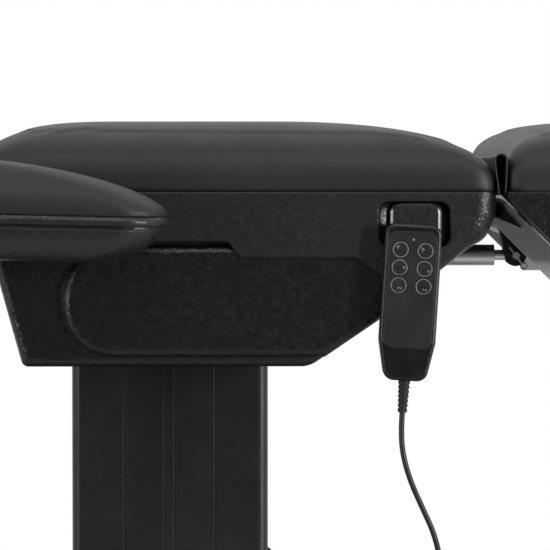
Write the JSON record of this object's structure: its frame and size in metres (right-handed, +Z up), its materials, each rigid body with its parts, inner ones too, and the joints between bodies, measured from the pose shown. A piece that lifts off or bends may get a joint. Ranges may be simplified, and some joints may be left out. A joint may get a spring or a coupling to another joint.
{
  "type": "electric treatment chair",
  "caption": "Electric beauty treatment chair lowered flat to a couch: padded seat, back, head and leg sections on a lifting column, with folding armrests and a corded handset.",
  "frame": {"origin": "on the floor, under the middle of the lifting column", "axes": "+X towards the foot end, +Y towards the sitter's left, +Z up"},
  "size_m": [1.86, 0.8402, 0.8],
  "materials": {
    "leatherette": "smooth black synthetic leather, soft sheen",
    "grained_plastic": "black moulded plastic with a pebble grain",
    "column_enamel": "satin black enamel",
    "frame_enamel": "black enamel",
    "silver_steel": "plain bright steel",
    "zinc_steel": "zinc plated",
    "plywood": "raw plywood",
    "drive_plastic": "dark plain plastic",
    "handset_plastic": "matt black plastic",
    "handset_membrane": "dark grey printed membrane",
    "indicator_lens": "small clear lens",
    "soft_rubber": "black rubber",
    "inlet_plastic": "black glossy plastic"
  },
  "bodies": {
    "base": {"levelling_feet": "soft_rubber", "base_plate": "frame_enamel", "base_cover": "grained_plastic", "power_inlet": "inlet_plastic", "column_inner": "column_enamel", "column_bolts": "zinc_steel", "column_glides": "drive_plastic", "lift_actuator": "drive_plastic"},
    "seat": {"column_sleeve": "column_enamel", "column_top_plate": "frame_enamel", "lift_ram": "silver_steel", "seat_frame": "frame_enamel", "pivot_pins": "zinc_steel", "seat_board": "plywood", "control_box": "drive_plastic", "seat_shell": "grained_plastic", "handset_holder": "grained_plastic", "seat_cushion": "leatherette", "cord_gland": "soft_rubber", "handset_cord": "soft_rubber", "gap_flap": "leatherette"},
    "legrest": {"leg_bar_left": "silver_steel", "leg_bar_right": "silver_steel", "leg_clevis": "frame_enamel", "leg_clevis_pin": "zinc_steel", "leg_split_pin": "zinc_steel", "leg_board": "plywood", "leg_shell": "grained_plastic", "leg_cushion": "leatherette"},
    "leg_tube": {"leg_actuator": "drive_plastic"},
    "leg_ram": {"leg_rod": "silver_steel"},
    "backrest": {"back_frame": "frame_enamel", "back_clevis": "frame_enamel", "back_clevis_pin": "zinc_steel", "back_board": "plywood", "back_shell": "grained_plastic", "back_cushion": "leatherette", "arm_bracket_left": "frame_enamel", "arm_bracket_right": "frame_enamel", "arm_pivot_bolts": "zinc_steel"},
    "back_tube": {"back_actuator": "drive_plastic"},
    "back_ram": {"back_rod": "silver_steel"},
    "headrest": {"headrest_posts": "silver_steel", "headrest_shell": "grained_plastic", "headrest_cushion": "leatherette"},
    "armrest_left": {"armrest_pad_left": "leatherette", "armrest_shell_left": "grained_plastic"},
    "armrest_right": {"armrest_pad_right": "leatherette", "armrest_shell_right": "grained_plastic"},
    "handset": {"handset_front": "handset_plastic", "handset_back": "handset_plastic", "handset_panel": "handset_membrane", "handset_lamp": "indicator_lens", "strain_relief": "soft_rubber"},
    "key_back_up": {"key_back_up_cap": "handset_membrane"},
    "key_back_down": {"key_back_down_cap": "handset_membrane"},
    "key_leg_up": {"key_leg_up_cap": "handset_membrane"},
    "key_leg_down": {"key_leg_down_cap": "handset_membrane"},
    "key_height_up": {"key_height_up_cap": "handset_membrane"},
    "key_height_down": {"key_height_down_cap": "handset_membrane"}
  },
  "joints": [
    {"name": "lift", "type": "slide", "parent": "base", "child": "seat", "axis": [0, 0, 1], "range_m": [-0.15, 0.11]},
    {"name": "leg_tilt", "type": "hinge", "parent": "seat", "child": "legrest", "pos_m": [0.358, 0, 0.705], "axis": [0, 1, 0], "range_deg": [0, 70], "deforming": ["gap_flap"]},
    {"name": "leg_tube_swing", "type": "hinge", "parent": "seat", "child": "leg_tube", "pos_m": [0.025, -0.14, 0.649], "axis": [0, 1, 0], "range_deg": [-2.2, 0]},
    {"name": "leg_ram_swing", "type": "hinge", "parent": "legrest", "child": "leg_ram", "pos_m": [0.382, -0.14, 0.654], "axis": [0, 1, 0], "range_deg": [-72.2, 0]},
    {"name": "back_tilt", "type": "hinge", "parent": "seat", "child": "backrest", "pos_m": [-0.217, 0, 0.745], "axis": [0, 1, 0], "range_deg": [0, 75]},
    {"name": "back_tube_swing", "type": "hinge", "parent": "seat", "child": "back_tube", "pos_m": [0.055, 0.15, 0.6485], "axis": [0, 1, 0], "range_deg": [0, 6.8]},
    {"name": "back_ram_swing", "type": "hinge", "parent": "backrest", "child": "back_ram", "pos_m": [-0.192, 0.15, 0.655], "axis": [0, 1, 0], "range_deg": [-68.5, 0]},
    {"name": "headrest_reach", "type": "slide", "parent": "backrest", "child": "headrest", "axis": [-1, 0, 0], "range_m": [0, 0.07]},
    {"name": "armrest_left_fold", "type": "hinge", "parent": "backrest", "child": "armrest_left", "pos_m": [-0.33, 0.308, 0.6845], "axis": [0, 1, 0], "range_deg": [-80, 0]},
    {"name": "armrest_right_fold", "type": "hinge", "parent": "backrest", "child": "armrest_right", "pos_m": [-0.33, -0.308, 0.6845], "axis": [0, 1, 0], "range_deg": [-80, 0]},
    {"name": "handset_pull", "type": "slide", "parent": "seat", "child": "handset", "axis": [0, -1, 0], "range_m": [0, 0.05], "deforming": ["handset_cord"]},
    {"name": "key_back_up_press", "type": "slide", "parent": "handset", "child": "key_back_up", "axis": [0, 1, 0], "range_m": [0, 0.0006], "stiffness_N_per_m": 600, "springref_m": -0.001},
    {"name": "key_back_down_press", "type": "slide", "parent": "handset", "child": "key_back_down", "axis": [0, 1, 0], "range_m": [0, 0.0006], "stiffness_N_per_m": 600, "springref_m": -0.001},
    {"name": "key_leg_up_press", "type": "slide", "parent": "handset", "child": "key_leg_up", "axis": [0, 1, 0], "range_m": [0, 0.0006], "stiffness_N_per_m": 600, "springref_m": -0.001},
    {"name": "key_leg_down_press", "type": "slide", "parent": "handset", "child": "key_leg_down", "axis": [0, 1, 0], "range_m": [0, 0.0006], "stiffness_N_per_m": 600, "springref_m": -0.001},
    {"name": "key_height_up_press", "type": "slide", "parent": "handset", "child": "key_height_up", "axis": [0, 1, 0], "range_m": [0, 0.0006], "stiffness_N_per_m": 600, "springref_m": -0.001},
    {"name": "key_height_down_press", "type": "slide", "parent": "handset", "child": "key_height_down", "axis": [0, 1, 0], "range_m": [0, 0.0006], "stiffness_N_per_m": 600, "springref_m": -0.001}
  ],
  "couplings": [
    {"joint": "leg_tube_swing", "follows": "leg_tilt", "ratio": -0.03},
    {"joint": "leg_ram_swing", "follows": "leg_tilt", "ratio": -1.03},
    {"joint": "back_tube_swing", "follows": "back_tilt", "ratio": 0.08867},
    {"joint": "back_ram_swing", "follows": "back_tilt", "ratio": -0.91133}
  ]
}
